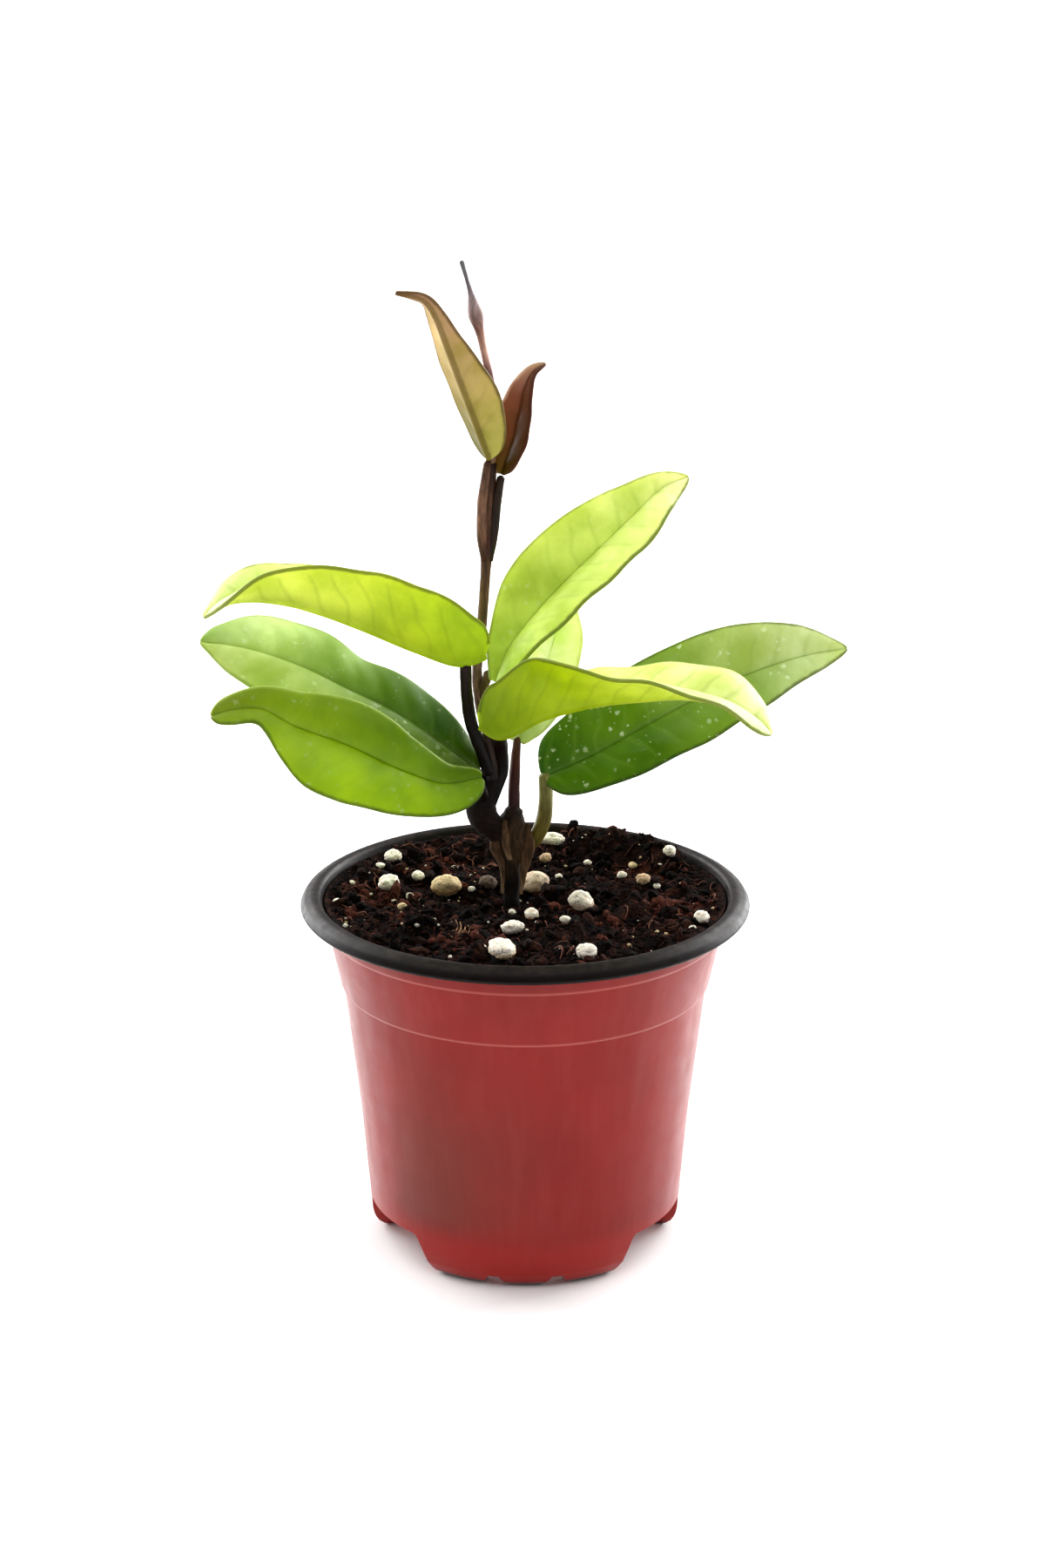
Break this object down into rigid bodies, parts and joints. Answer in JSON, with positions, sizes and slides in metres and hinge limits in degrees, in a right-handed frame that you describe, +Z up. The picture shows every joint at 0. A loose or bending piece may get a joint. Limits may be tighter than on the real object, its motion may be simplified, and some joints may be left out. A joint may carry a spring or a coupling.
{
  "type": "potted hoya plant",
  "caption": "Young hoya with thick pointed leaves on thin dark stems, rooted in soil in a round red and black plastic nursery pot.",
  "frame": {"origin": "on the ground, in the middle of the pot's foot", "axes": "+Z up, +X to the right of the front view, +Y to its back"},
  "size_m": [0.1418, 0.1, 0.2201],
  "materials": {
    "pot_plastic": "satin",
    "potting_soil": "matte",
    "perlite": "matte",
    "old_bark": "matte",
    "stem_bark": "satin",
    "leaf_stalk": "satin",
    "young_shoot": "satin",
    "light_leaf": "satin",
    "green_leaf": "satin",
    "dark_leaf": "satin",
    "bronze_leaf": "satin"
  },
  "bodies": {
    "root": {"pot": "pot_plastic", "soil": "potting_soil", "perlite_1": "perlite", "perlite_2": "perlite", "perlite_3": "perlite", "perlite_4": "perlite", "perlite_5": "perlite", "perlite_6": "perlite", "perlite_7": "perlite", "perlite_8": "perlite", "perlite_9": "perlite", "perlite_10": "perlite", "perlite_11": "perlite", "perlite_12": "perlite", "perlite_13": "perlite", "perlite_14": "perlite", "perlite_15": "perlite", "perlite_16": "perlite", "old_stem": "old_bark", "main_stem": "stem_bark", "shoot_tip": "young_shoot", "stalk_upper_left": "leaf_stalk", "stalk_upright": "leaf_stalk", "stalk_lower_right": "leaf_stalk", "stalk_back": "leaf_stalk", "stalk_large_right": "leaf_stalk", "stalk_middle_left": "leaf_stalk", "stalk_lower_left": "leaf_stalk", "leaf_upper_left": "light_leaf", "leaf_middle_left": "green_leaf", "leaf_lower_left": "green_leaf", "leaf_upright": "light_leaf", "leaf_back": "light_leaf", "leaf_lower_right": "light_leaf", "leaf_large_right": "dark_leaf", "young_leaf_left": "bronze_leaf", "young_leaf_right": "bronze_leaf"}
  },
  "joints": []
}
